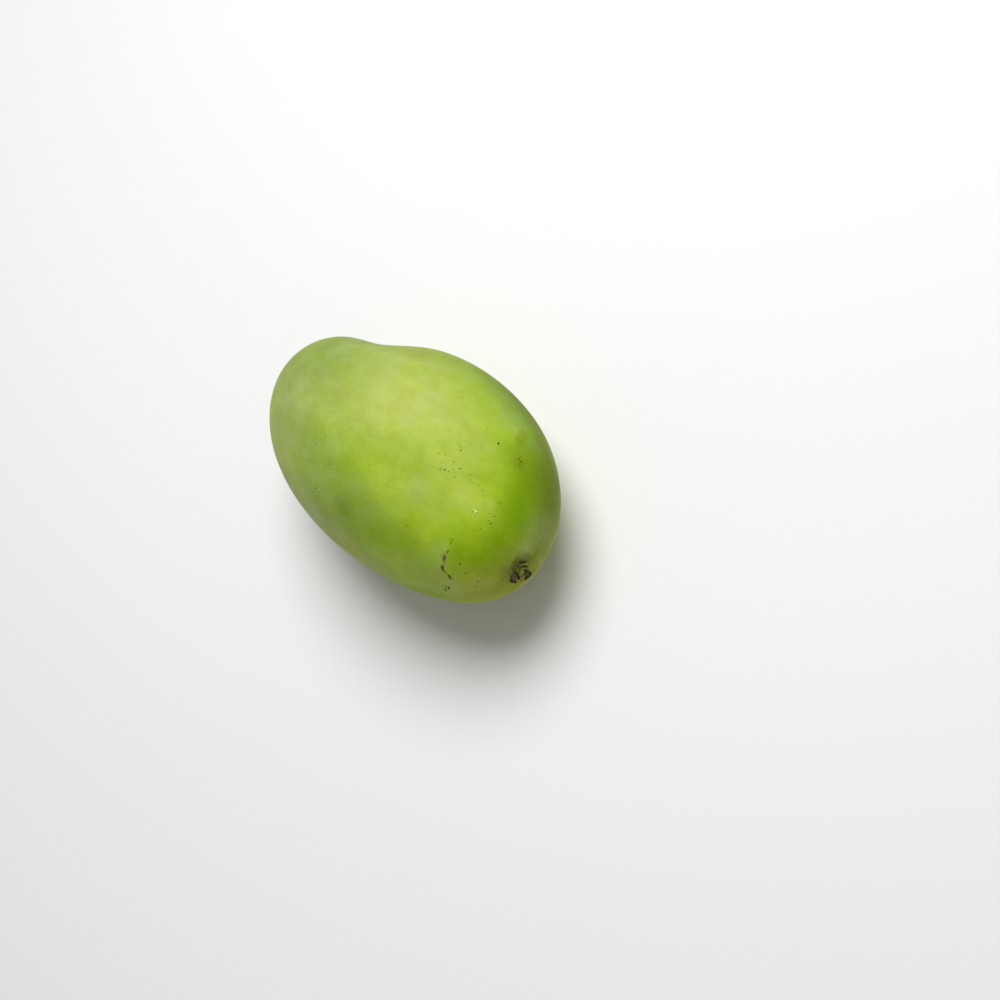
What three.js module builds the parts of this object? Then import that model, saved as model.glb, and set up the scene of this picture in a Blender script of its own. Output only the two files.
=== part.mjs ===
// A whole green mango, picked, lying on one cheek. Millimetres, +Z up.
// +X runs along the fruit from the apex to the stem end, +Y is the side with the sinus and the beak.
// The origin is on the surface the fruit lies on, under the middle of its box.
import * as THREE from 'three';

// Driving dimensions
const LENGTH = 129.4;         // apex to stem end
const BREADTH = 77.9;         // belly to back, at the middle
const THICKNESS_RATIO = 0.86; // cheek to cheek, as a share of the breadth
const PITCH_DEG = 3.7;        // how far the stem end lifts when the fruit lies at rest
const ROLL_DEG = 3.2;         // how far it then leans towards its back
const FLAT_DEPTH = 0.6;       // how much the resting spot is pressed in

// How the breadth and the thickness change from the apex (u = -1) to the stem end (u = 1)
const STEM_FULLNESS = 0.1;
const END_FULLNESS = 0.02;
const THICKNESS_SLOPE = 0.03;
const THICKNESS_ENDS = 0.04;
const CHEEK_FULLNESS = 0.1;   // thickens the cheeks towards the belly and the back
const BELLY_THINNING = 0.04;  // thins the belly edge against the back edge

// The middle line bends in the plane of the sinus: its sideways shift in mm is a cubic of u
const BEND = [1.9, -3, -4.5];

// Swells and hollows of the profile. at_deg is counted from the stem end towards the sinus side,
// and reach and across are in shares of the fruit's half size, along and across the profile.
const SWELLS = [
  { name: 'sinus', at_deg: 123, height: -4.5, reach: 0.28, across: 0.9 },
  { name: 'belly shoulder', at_deg: 23, height: 1, reach: 0.6, across: 0.6 },
  { name: 'back shoulder', at_deg: -36, height: -3.2, reach: 0.75, across: 0.75 },
];

// The stem scar, as heights in mm over a distance in mm from the middle of the scar
const SCAR = [
  { name: 'dimple', height: -1.1, radius: 0, width: 5.6 },
  { name: 'corky rim', height: 0.45, radius: 3, width: 0.9 },
  { name: 'stalk stub', height: 0.9, radius: 0, width: 1.1 },
];

// Mesh fineness
const SEGMENTS = 60;
const RINGS = 50;
const STEM_CROWDING = 0.7;    // 0 spaces the rings evenly, and nearer 1 crowds them at the stem end

const skin = new THREE.MeshStandardMaterial({ name: 'green_skin', color: 0x9dbb48, roughness: 0.5, metalness: 0 });

// The sum of the swells at a point of the unit sphere
function swellHeight(u, v, w) {
  let height = 0;
  for (const swell of SWELLS) {
    const angle = THREE.MathUtils.degToRad(swell.at_deg);
    const du = u - Math.cos(angle);
    const dv = v - Math.sin(angle);
    const along = (du * du + dv * dv) / swell.reach ** 2;
    const across = w * w / swell.across ** 2;
    height += swell.height * Math.exp(-along - across);
  }
  return height;
}

// The scar's relief along the stem axis
function scarHeight(distance) {
  let height = 0;
  for (const ring of SCAR) {
    height += ring.height * Math.exp(-(((distance - ring.radius) / ring.width) ** 2));
  }
  return height;
}

// A point of the unit sphere, u to the stem, v to the sinus side and w up, becomes one of the fruit
function fruitPoint(u, v, w) {
  const halfBreadth = BREADTH / 2 * (1 + STEM_FULLNESS * u + END_FULLNESS * u * u);
  const ratio = THICKNESS_RATIO + THICKNESS_SLOPE * u + THICKNESS_ENDS * u * u;
  const cheek = (1 + CHEEK_FULLNESS * v * v) * (1 - BELLY_THINNING * v);
  const bend = BEND[0] * u + BEND[1] * u * u + BEND[2] * u ** 3;
  const swell = swellHeight(u, v, w);
  const scar = u > 0 ? scarHeight(halfBreadth * Math.hypot(v, w)) : 0;
  return new THREE.Vector3(
    (LENGTH / 2 + swell) * u + scar,
    bend + (halfBreadth + swell) * v,
    (halfBreadth * ratio * cheek + swell) * w,
  );
}

// A unit sphere whose rings crowd towards the stem end, moved point by point onto the fruit
function fruitGeometry() {
  const geometry = new THREE.SphereGeometry(1, SEGMENTS, RINGS);
  const position = geometry.attributes.position;
  const point = new THREE.Vector3();
  for (let i = 0; i < position.count; i++) {
    point.fromBufferAttribute(position, i);
    const even = Math.acos(THREE.MathUtils.clamp(point.y, -1, 1)) / Math.PI;
    const polar = Math.PI * (STEM_CROWDING * even * even + (1 - STEM_CROWDING) * even);
    const around = Math.atan2(point.x, point.z);
    const ring = Math.sin(polar);
    const moved = fruitPoint(Math.cos(polar), ring * Math.cos(around), ring * Math.sin(around));
    position.setXYZ(i, moved.x, moved.y, moved.z);
  }
  return geometry;
}

// Turns the fruit to its resting pose, presses in the resting spot and puts the origin below it
function layDown(geometry) {
  geometry.rotateY(-THREE.MathUtils.degToRad(PITCH_DEG));
  geometry.rotateX(-THREE.MathUtils.degToRad(ROLL_DEG));
  geometry.computeBoundingBox();
  const floor = geometry.boundingBox.min.z + FLAT_DEPTH;
  const middle = geometry.boundingBox.getCenter(new THREE.Vector3());
  geometry.translate(-middle.x, -middle.y, -floor);
  const position = geometry.attributes.position;
  for (let i = 0; i < position.count; i++) {
    position.setZ(i, Math.max(position.getZ(i), 0));
  }
  geometry.computeVertexNormals();
  geometry.computeBoundingBox();
  return geometry;
}

const mango = new THREE.Mesh(layDown(fruitGeometry()), skin);
mango.name = 'mango';

const part = new THREE.Group();
part.add(mango);

export default part;
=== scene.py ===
"""A whole green mango lying on one cheek, grown around its solid and painted by rule.

Lengths are in metres, in the solid's own frame: +X runs from the apex to the stem end, +Y is the side
with the sinus, +Z is up and the fruit lies on the plane z = 0. A name that ends in _px is a place or a
size in pixels of the reference photograph, which is 1000 pixels wide and high. The camera looks
through such a place at the skin, and what is drawn there is laid on the skin itself.
"""
import math
import random
from collections import namedtuple

import bmesh
import bpy
from bpy.props import FloatProperty, FloatVectorProperty, IntProperty, PointerProperty
from mathutils import Matrix, Vector, noise
from mathutils.bvhtree import BVHTree


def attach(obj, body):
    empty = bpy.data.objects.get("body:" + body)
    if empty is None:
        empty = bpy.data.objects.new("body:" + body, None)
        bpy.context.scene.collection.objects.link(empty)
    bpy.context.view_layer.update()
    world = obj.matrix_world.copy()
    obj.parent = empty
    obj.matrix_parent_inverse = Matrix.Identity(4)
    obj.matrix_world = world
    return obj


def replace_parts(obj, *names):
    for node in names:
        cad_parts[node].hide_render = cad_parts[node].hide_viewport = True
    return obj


bl_info = {
    "name": "Green mango",
    "version": (1, 0, 0),
    "blender": (4, 5, 0),
    "location": "3D View > Sidebar > Mango",
    "description": "Grows a green mango with its pores, scars and sap, and lights it on a plain floor",
    "category": "Object",
}

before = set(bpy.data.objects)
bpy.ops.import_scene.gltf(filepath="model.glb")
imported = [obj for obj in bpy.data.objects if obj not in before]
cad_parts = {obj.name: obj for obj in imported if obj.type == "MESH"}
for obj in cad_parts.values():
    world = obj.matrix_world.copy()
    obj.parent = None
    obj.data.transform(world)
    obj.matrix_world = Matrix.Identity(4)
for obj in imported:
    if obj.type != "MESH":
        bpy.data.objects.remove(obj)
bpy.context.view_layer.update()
NODE = "mango"
MM = 0.001

# Driving sizes and the pose at rest, as in the solid, and how finely the skin is divided
LENGTH = 129.4 * MM
BREADTH = 77.9 * MM
THICKNESS_RATIO = 0.86
PITCH = math.radians(3.7)
ROLL = math.radians(3.2)
FLAT_DEPTH = 0.6 * MM
WAVE_HEIGHT = 0.2 * MM
SEGMENTS = 300
RINGS = 250

# How the fruit's half size changes from the apex (u = -1) to the stem end (u = 1)
STEM_FULLNESS = 0.1
END_FULLNESS = 0.02
THICKNESS_SLOPE = 0.03
THICKNESS_ENDS = 0.04
CHEEK_FULLNESS = 0.1
BELLY_THINNING = 0.04
STEM_CROWDING = 0.7
BEND = (1.9 * MM, -3 * MM, -4.5 * MM)

# Swells and hollows of the profile, counted from the stem end towards the sinus side
Swell = namedtuple("Swell", "name at height reach across")
SWELLS = (
    Swell("sinus", math.radians(123), -4.5 * MM, 0.28, 0.9),
    Swell("belly shoulder", math.radians(23), 1 * MM, 0.6, 0.6),
    Swell("back shoulder", math.radians(-36), -3.2 * MM, 0.75, 0.75),
)

# Rings of relief around the middle of the stem scar
Ring = namedtuple("Ring", "name height radius width")
SCAR_RINGS = (
    Ring("dimple", -1.1 * MM, 0, 5.6 * MM),
    Ring("corky rim", 0.45 * MM, 3 * MM, 0.9 * MM),
    Ring("stalk stub", 0.9 * MM, 0, 1.1 * MM),
)

# The camera, as it stood to the fruit in the photograph
PHOTO_SIZE = 1000
FOCAL_PX = 1460
SENSOR = 36
CAMERA_ELEVATION = math.radians(60.54)
CAMERA_AZIMUTH = math.radians(5.68)
CAMERA_ROLL = math.radians(57.71)
CAMERA_DISTANCE = 480.3 * MM
CAMERA_AIM = Vector((39.37, 7.79, 33)) * MM


def camera_axes():
    """The camera's right, up and backward directions."""
    flat = math.cos(CAMERA_ELEVATION)
    rise = math.sin(CAMERA_ELEVATION)
    back = Vector((flat * math.cos(CAMERA_AZIMUTH), flat * math.sin(CAMERA_AZIMUTH), rise))
    level = Vector((0, 0, 1)).cross(back).normalized()
    upright = back.cross(level)
    right = level * math.cos(CAMERA_ROLL) - upright * math.sin(CAMERA_ROLL)
    up = upright * math.cos(CAMERA_ROLL) + level * math.sin(CAMERA_ROLL)
    return right, up, back


CAMERA_RIGHT, CAMERA_UP, CAMERA_BACK = camera_axes()
CAMERA_PLACE = CAMERA_AIM + CAMERA_BACK * CAMERA_DISTANCE


# Node trees, written as sums
class Number:
    """A number that changes over a surface. Arithmetic on it adds Math nodes to its tree."""

    def __init__(self, graph, socket):
        self.graph = graph
        self.socket = socket

    def math(self, operation, *others):
        return self.graph.sum(operation, self, *others)

    def __add__(self, other):
        return self.math("ADD", other)

    def __sub__(self, other):
        return self.math("SUBTRACT", other)

    def __mul__(self, other):
        return self.math("MULTIPLY", other)

    def __truediv__(self, other):
        return self.math("DIVIDE", other)

    def __neg__(self):
        return self.math("MULTIPLY", -1)

    def __rsub__(self, other):
        return self.graph.sum("SUBTRACT", other, self)

    __radd__ = __add__
    __rmul__ = __mul__

    def squared(self):
        return self.math("MULTIPLY", self)

    def exp(self):
        return self.math("EXPONENT")

    def labelled(self, title):
        """The same number, with a title on its node."""
        self.socket.node.label = title
        return self


class Graph:
    """A node tree that is being written."""

    COLUMNS = 12
    COLUMN_WIDTH = 220
    ROW_HEIGHT = 320

    def __init__(self, tree):
        self.tree = tree

    def add(self, kind, feeds=None, **settings):
        """A new node. feeds names or numbers its input sockets and gives what they take."""
        row, column = divmod(len(self.tree.nodes), self.COLUMNS)
        node = self.tree.nodes.new(kind)
        node.location = (self.COLUMN_WIDTH * column, -self.ROW_HEIGHT * row)
        for name, value in settings.items():
            setattr(node, name, value)
        self.feed(node, feeds or {})
        return node

    def feed(self, node, feeds):
        """Gives input sockets of the node fixed values, or joins them to output sockets."""
        for name, value in feeds.items():
            if isinstance(value, Number):
                value = value.socket
            if isinstance(value, bpy.types.NodeSocket):
                self.tree.links.new(value, node.inputs[name])
            else:
                node.inputs[name].default_value = value

    def number(self, socket):
        return Number(self, socket)

    def sum(self, operation, *terms):
        node = self.add("ShaderNodeMath", dict(enumerate(terms)), operation=operation)
        return self.number(node.outputs[0])

    def vector_sum(self, operation, *terms):
        return self.add("ShaderNodeVectorMath", dict(enumerate(terms)), operation=operation).outputs[0]

    def split(self, vector):
        parts = self.add("ShaderNodeSeparateXYZ", {0: vector})
        return [self.number(socket) for socket in parts.outputs]

    def join(self, x, y, z):
        return self.add("ShaderNodeCombineXYZ", {0: x, 1: y, 2: z}).outputs[0]

    def noise(self, vector, scale, detail=2.0, roughness=0.5):
        feeds = {"Vector": vector, "Scale": scale, "Detail": detail, "Roughness": roughness}
        return self.number(self.add("ShaderNodeTexNoise", feeds).outputs[0])

    def ramp(self, value, low, high, to_low=0.0, to_high=1.0):
        """value between low and high, eased and clamped onto to_low and to_high."""
        feeds = {0: value, 1: low, 2: high, 3: to_low, 4: to_high}
        node = self.add("ShaderNodeMapRange", feeds, interpolation_type="SMOOTHSTEP")
        return self.number(node.outputs[0])

    def mix(self, share, first, second):
        """The colour first, with share of the colour second."""
        return self.add("ShaderNodeMix", {0: share, 6: first, 7: second}, data_type="RGBA").outputs[2]

    def group(self, name, **feeds):
        """One of the shared node groups. Feeds are named as its inputs, with _ for a space."""
        node = self.add("ShaderNodeGroup", node_tree=bpy.data.node_groups[name])
        self.feed(node, {socket_name(key): value for key, value in feeds.items()})
        return [self.number(socket) for socket in node.outputs]


def socket_name(key):
    """The title of the socket that takes the setting of this name."""
    return key.replace("_", " ").capitalize()


def new_tree(name, kind, inputs, outputs):
    """A node tree with named inputs (name, type, default) and outputs (name, type)."""
    tree = bpy.data.node_groups.new(name, kind)
    for title, socket_type, default in inputs:
        socket = tree.interface.new_socket(title, in_out="INPUT", socket_type="NodeSocket" + socket_type)
        if default is not None:
            socket.default_value = default
    for title, socket_type in outputs:
        tree.interface.new_socket(title, in_out="OUTPUT", socket_type="NodeSocket" + socket_type)
    graph = Graph(tree)
    entry = graph.add("NodeGroupInput")
    given = {title: entry.outputs[title] for title, _, _ in inputs}
    return graph, given


def finish_geometry(graph, geometry, material):
    """Ends a geometry tree: real faces, smooth, with the material."""
    real = graph.add("GeometryNodeRealizeInstances", {0: geometry}).outputs[0]
    smooth = graph.add("GeometryNodeSetShadeSmooth", {0: real}).outputs[0]
    painted = graph.add("GeometryNodeSetMaterial", {"Geometry": smooth, "Material": material}).outputs[0]
    graph.add("NodeGroupOutput", {0: painted})


def run_tree(name, tree, base_mesh, values):
    """Runs a geometry tree on a mesh, with its inputs set, and leaves the result as a plain mesh."""
    base_mesh.materials.clear()
    base_mesh.materials.append(values["Material"])
    obj = link(bpy.data.objects.new(name, base_mesh))
    modifier = obj.modifiers.new(tree.name, "NODES")
    modifier.node_group = tree
    for item in tree.interface.items_tree:
        if item.in_out == "INPUT" and item.name in values:
            modifier[item.identifier] = values[item.name]
    depsgraph = bpy.context.evaluated_depsgraph_get()
    result = bpy.data.meshes.new_from_object(obj.evaluated_get(depsgraph), depsgraph=depsgraph)
    obj.modifiers.clear()
    obj.data = result
    result.name = name
    if not result.polygons:
        raise RuntimeError(f"{name} came out empty")
    return obj


def link(obj):
    bpy.context.scene.collection.objects.link(obj)
    return obj


def keep(obj):
    """Every piece belongs to the one body of the fruit."""
    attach(obj, "root")
    return obj


# Shape of the skin
WAVE_SCALE = 2.6
RIPPLE_SCALE = 22
RIPPLE_SHARE = 0.15


def fruit_point(graph, shape, u, v, w):
    """A point of the unit sphere (u to the stem, v to the sinus side, w up) moved onto the fruit."""
    half = shape["Breadth"] / 2 * (1 + STEM_FULLNESS * u + END_FULLNESS * u.squared())
    ratio = shape["Thickness ratio"] + THICKNESS_SLOPE * u + THICKNESS_ENDS * u.squared()
    cheek = (1 + CHEEK_FULLNESS * v.squared()) * (1 - BELLY_THINNING * v)
    bend = BEND[0] * u + BEND[1] * u.squared() + BEND[2] * u.squared() * u
    swell = skin_waves(graph, shape, u, v, w)
    for one in SWELLS:
        along = ((u - math.cos(one.at)).squared() + (v - math.sin(one.at)).squared()) / one.reach ** 2
        across = w.squared() / one.across ** 2
        swell = swell + (one.height * (-(along + across)).exp()).labelled(one.name)
    distance = half * (v.squared() + w.squared()).math("SQRT")
    scar = scar_relief(graph, u, distance)
    x = (shape["Length"] / 2 + swell) * u + scar
    y = bend + (half + swell) * v
    z = (half * ratio * cheek + swell) * w
    return graph.join(x, y, z)


def skin_waves(graph, shape, u, v, w):
    """Broad shallow waves and a finer unevenness of the skin."""
    ball = graph.join(u, v, w)
    broad = graph.noise(ball, WAVE_SCALE, detail=1.0) - 0.5
    fine = graph.noise(ball, RIPPLE_SCALE, detail=1.0) - 0.5
    return broad * shape["Wave height"] + fine * (RIPPLE_SHARE * shape["Wave height"])


def scar_relief(graph, u, distance):
    """The dimple, the rim and the stub at the stem end."""
    relief = 0
    for ring in SCAR_RINGS:
        bump = ring.height * (-((distance - ring.radius) / ring.width).squared()).exp()
        relief = relief + bump.labelled(ring.name)
    return relief * graph.sum("GREATER_THAN", u, 0)


def build_skin_tree():
    """A sphere with its rings crowded at the stem, bent, laid down and pressed flat below."""
    inputs = [
        ("Geometry", "Geometry", None),
        ("Length", "Float", LENGTH), ("Breadth", "Float", BREADTH),
        ("Thickness ratio", "Float", THICKNESS_RATIO),
        ("Pitch", "Float", PITCH), ("Roll", "Float", ROLL), ("Flat depth", "Float", FLAT_DEPTH),
        ("Wave height", "Float", WAVE_HEIGHT), ("Segments", "Int", SEGMENTS), ("Rings", "Int", RINGS),
        ("Material", "Material", None),
    ]
    graph, given = new_tree("Mango skin", "GeometryNodeTree", inputs, [("Geometry", "Geometry")])
    shape = {name: graph.number(socket) for name, socket in given.items()}
    fineness = {"Segments": shape["Segments"], "Rings": shape["Rings"], "Radius": 1.0}
    ball = graph.add("GeometryNodeMeshUVSphere", fineness)
    x, y, z = graph.split(graph.add("GeometryNodeInputPosition").outputs[0])
    even = z.math("MINIMUM", 1).math("MAXIMUM", -1).math("ARCCOSINE") / math.pi
    polar = math.pi * (STEM_CROWDING * even.squared() + (1 - STEM_CROWDING) * even)
    around = y.math("ARCTAN2", x)
    ring = polar.math("SINE")
    v, w = ring * around.math("COSINE"), ring * around.math("SINE")
    place = fruit_point(graph, shape, polar.math("COSINE"), v, w)
    grown = graph.add("GeometryNodeSetPosition", {"Geometry": ball.outputs["Mesh"], "Position": place})
    pitch = graph.join(0.0, -shape["Pitch"], 0.0)
    roll = graph.join(-shape["Roll"], 0.0, 0.0)
    pitched = graph.add("GeometryNodeTransform", {"Geometry": grown.outputs[0], "Rotation": pitch})
    rolled = graph.add("GeometryNodeTransform", {"Geometry": pitched.outputs[0], "Rotation": roll})
    box = graph.add("GeometryNodeBoundBox", {0: rolled.outputs[0]})
    low = graph.split(box.outputs["Min"])
    high = graph.split(box.outputs["Max"])
    lift = -low[2] - shape["Flat depth"]
    shift = graph.join((low[0] + high[0]) * -0.5, (low[1] + high[1]) * -0.5, lift)
    centred = graph.add("GeometryNodeTransform", {"Geometry": rolled.outputs[0], "Translation": shift})
    x, y, z = graph.split(graph.add("GeometryNodeInputPosition").outputs[0])
    pressed = {"Geometry": centred.outputs[0], "Position": graph.join(x, y, z.math("MAXIMUM", 0))}
    lying = graph.add("GeometryNodeSetPosition", pressed).outputs[0]
    finish_geometry(graph, lying, given["Material"])
    return graph.tree


class MangoShape(bpy.types.PropertyGroup):
    """Sizes of the whole fruit."""

    length: FloatProperty(
        name="Length", description="From the apex to the stem end",
        default=LENGTH, min=0.05, max=0.3, unit="LENGTH")
    breadth: FloatProperty(
        name="Breadth", description="From the belly to the back, at the middle",
        default=BREADTH, min=0.03, max=0.2, unit="LENGTH")
    thickness_ratio: FloatProperty(
        name="Thickness ratio", description="Cheek to cheek, as a share of the breadth",
        default=THICKNESS_RATIO, min=0.5, max=1.1, subtype="FACTOR")
    pitch: FloatProperty(
        name="Pitch", description="How far the stem end lifts at rest",
        default=PITCH, unit="ROTATION")
    roll: FloatProperty(
        name="Roll", description="How far the fruit then leans towards its back",
        default=ROLL, unit="ROTATION")
    flat_depth: FloatProperty(
        name="Flat depth", description="How much the resting spot is pressed in",
        default=FLAT_DEPTH, min=0, max=0.003, unit="LENGTH", precision=5)
    wave_height: FloatProperty(
        name="Wave height", description="Height of the broad shallow waves of the skin",
        default=WAVE_HEIGHT, min=0, max=0.002, unit="LENGTH", precision=5)
    segments: IntProperty(
        name="Segments", description="Faces around the fruit", default=SEGMENTS, min=24, max=400)
    rings: IntProperty(
        name="Rings", description="Faces from the stem end to the apex",
        default=RINGS, min=24, max=320)


def empty_material(name):
    material = bpy.data.materials.new(name)
    material.use_nodes = True
    return material


def setting_names(settings):
    """The names of the settings that a group adds of its own."""
    return [name for name in settings.bl_rna.properties.keys() if name not in ("rna_type", "name")]


class MANGO_OT_grow_skin(bpy.types.Operator):
    """Grow the skin over the whole fruit, in place of the solid"""

    bl_idname = "mango.grow_skin"
    bl_label = "Grow the skin"

    def execute(self, context):
        shape = context.scene.mango_shape
        values = {socket_name(name): getattr(shape, name) for name in setting_names(shape)}
        values["Material"] = empty_material("waxy skin")
        skin = run_tree("skin", build_skin_tree(), bpy.data.meshes.new("seed"), values)
        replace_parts(keep(skin), NODE)
        return {"FINISHED"}


# Finding places on the skin
class SkinView:
    """Finds the skin under a pixel of the photograph, or next to a point."""

    def __init__(self):
        skin = bpy.data.objects["skin"]
        self.tree = BVHTree.FromObject(skin, bpy.context.evaluated_depsgraph_get())

    def at_pixel(self, x_px, y_px):
        """(place, outward normal) of the skin that the photograph shows at this pixel.

        A pixel just off the fruit gives the skin nearest to it.
        """
        middle = PHOTO_SIZE / 2
        right, down = (x_px - middle) / FOCAL_PX, (y_px - middle) / FOCAL_PX
        aim = CAMERA_RIGHT * right - CAMERA_UP * down - CAMERA_BACK
        place, normal, _, _ = self.tree.ray_cast(CAMERA_PLACE, aim.normalized())
        if place is None:
            return self.nearest(CAMERA_PLACE + aim * CAMERA_DISTANCE)
        return place, normal

    def nearest(self, point):
        place, normal, _, _ = self.tree.find_nearest(point)
        return place, normal

    def steps_from_pixel(self, x_px, y_px):
        """The skin a number of pixels across and down from this pixel."""
        return lambda across, down: self.at_pixel(x_px + across, y_px + down)

    def steps_from_point(self, point):
        """The skin a number of metres this way and that from the place nearest to the point."""
        place, normal = self.nearest(point)
        side = normal.orthogonal().normalized()
        other = normal.cross(side)
        return lambda across, down: self.nearest(place + side * across + other * down)


# Paint
def tint(name, description, default):
    """A setting that is a colour."""
    return FloatVectorProperty(
        name=name, description=description, subtype="COLOR", size=3, default=default, min=0, max=1)


class MangoColours(bpy.types.PropertyGroup):
    """Colours of the skin and its marks, in linear light."""

    fresh: tint("Fresh green", "Clear green skin towards the stem end", (0.23, 0.395, 0.002))
    waxy: tint("Waxy green", "Skin under its full wax, towards the apex", (0.495, 0.575, 0.19))
    # straw: pale skin; on top of the cheek and along the rim of the back it also stands for painted sheen
    # and painted light
    straw: tint("Straw", "Palest skin, on top of the cheek", (0.475, 0.542, 0.127))
    bright: tint("Bright wax", "Lightest small clouds of wax on the cheek", (0.57, 0.67, 0.125))
    grey: tint("Grey green", "Duller skin of the back and the apex", (0.245, 0.335, 0.067))
    lime: tint("Lime", "Bright yellow green between the clouds of wax", (0.44, 0.62, 0.027))
    deep: tint("Rubbed green", "Deep green where the wax is rubbed off", (0.18, 0.323, 0.001))
    # Dark greyish skin together with painted shade, where a neighbouring fruit shaded the belly edge
    bloom_and_shade: tint("Dark bloom", "Dark greyish skin along the belly edge", (0.096, 0.112, 0.014))
    haze: tint("Haze", "Bluish haze of wax by the belly edge", (0.23, 0.37, 0.09))
    # pale: pale skin, also laid as painted bounce light along the lower rim
    pale: tint("Pale edge", "Pale skin low on the back and above the scar", (0.31, 0.38, 0.19))
    russet: tint("Russet", "Tan skin below the stem scar", (0.394, 0.34, 0.07))
    smoke: tint("Smoke", "Dark sap stain around the stem scar", (0.1, 0.105, 0.017))
    mist: tint("Mist", "Small clouds of wax", (0.394, 0.533, 0.162))
    olive: tint("Olive", "Small dull spots between the clouds", (0.264, 0.386, 0.001))
    umber: tint("Umber", "Brownish spots at the belly edge", (0.216, 0.256, 0.006))
    under: tint("Underside", "Dull skin of the underside, that had the least sun", (0.37, 0.42, 0.085))
    healed: tint("Healed skin", "Pale healed skin around the graze", (0.39, 0.43, 0.1))
    cork_dark: tint("Dark cork", "Dark hollows of the cork of scars and specks", (0.054, 0.046, 0.009))
    crust: tint("Crust", "Olive brown of thin crusts and of the darker specks", (0.075, 0.08, 0.018))
    graze: tint("Graze", "Brownish tan in the middle of the graze", (0.13, 0.115, 0.027))
    bruise: tint("Bruise", "Lighter brown of the middle of the graze", (0.25, 0.235, 0.055))
    cork_light: tint("Light cork", "Dry raised edges of the dark cork", (0.155, 0.12, 0.08))
    tan: tint("Tan cork", "Lighter cork of the graze and of chips by the scar", (0.33, 0.34, 0.085))
    stub: tint("Stub", "Olive pith in the middle of the stem scar", (0.27, 0.28, 0.035))
    # speck: dark green of the specks, also laid along the right rims as painted shade
    speck: tint("Speck", "Dark green skin of the fine specks", (0.12, 0.18, 0.005))
    pore: tint("Pore", "Pale corky pores all over the skin", (0.36, 0.48, 0.07))
    # sap: near-white, more a painted glint of light through the drop than the sap's own colour
    sap: tint("Sap", "The dried drop of sap", (0.92, 1.0, 0.45))


def build_patch_group():
    """A soft patch: 1 inside, 0 outside. Cloud moves its edge in and out."""
    inputs = [
        ("Point", "Vector", None), ("Centre", "Vector", None), ("Radii", "Vector", (1, 1, 1)),
        ("Turn", "Float", 0.0), ("Softness", "Float", 0.4), ("Cloud", "Float", 0.0),
    ]
    graph, given = new_tree("Soft patch", "ShaderNodeTree", inputs, [("Mask", "Float")])
    away = graph.vector_sum("SUBTRACT", given["Point"], given["Centre"])
    turned = graph.add("ShaderNodeVectorRotate", {"Vector": away, "Angle": given["Turn"]}).outputs[0]
    scaled = graph.vector_sum("DIVIDE", turned, given["Radii"])
    reach = graph.add("ShaderNodeVectorMath", {0: scaled}, operation="LENGTH").outputs["Value"]
    edge = graph.number(reach) + graph.number(given["Cloud"])
    soft = graph.number(given["Softness"])
    graph.add("NodeGroupOutput", {0: graph.ramp(edge, 1 + soft, 1 - soft)})
    return graph.tree


def build_mottle_group():
    """Clouds drawn out along the fruit, as much below 0 as above it."""
    inputs = [
        ("Point", "Vector", None), ("Scale", "Float", 100.0), ("Stretch", "Float", 0.7),
        ("Detail", "Float", 3.0), ("Strength", "Float", 1.0),
    ]
    graph, given = new_tree("Mottle", "ShaderNodeTree", inputs, [("Cloud", "Float")])
    drawn = graph.vector_sum("MULTIPLY", given["Point"], graph.join(given["Stretch"], 1.0, 1.0))
    cloud = graph.noise(drawn, given["Scale"], detail=given["Detail"], roughness=0.65) - 0.5
    graph.add("NodeGroupOutput", {0: cloud * graph.number(given["Strength"])})
    return graph.tree


CRACK_SCALE = 0.4
CRACK_SHARE = 0.4


def build_cork_group():
    """Dry cracked tissue: its colour between dark and light, and its height."""
    inputs = [
        ("Point", "Vector", None), ("Scale", "Float", 900.0),
        ("Dark", "Color", None), ("Light", "Color", None),
    ]
    outputs = [("Colour", "Color"), ("Height", "Float")]
    graph, given = new_tree("Dry cork", "ShaderNodeTree", inputs, outputs)
    grain = graph.noise(given["Point"], given["Scale"], detail=4.0, roughness=0.65)
    crack = graph.noise(given["Point"], graph.number(given["Scale"]) * CRACK_SCALE, detail=1.0)
    height = graph.ramp(grain * (1 - CRACK_SHARE) + crack * CRACK_SHARE, 0.34, 0.66)
    graph.add("NodeGroupOutput", {0: graph.mix(height, given["Dark"], given["Light"]), 1: height})
    return graph.tree


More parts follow.
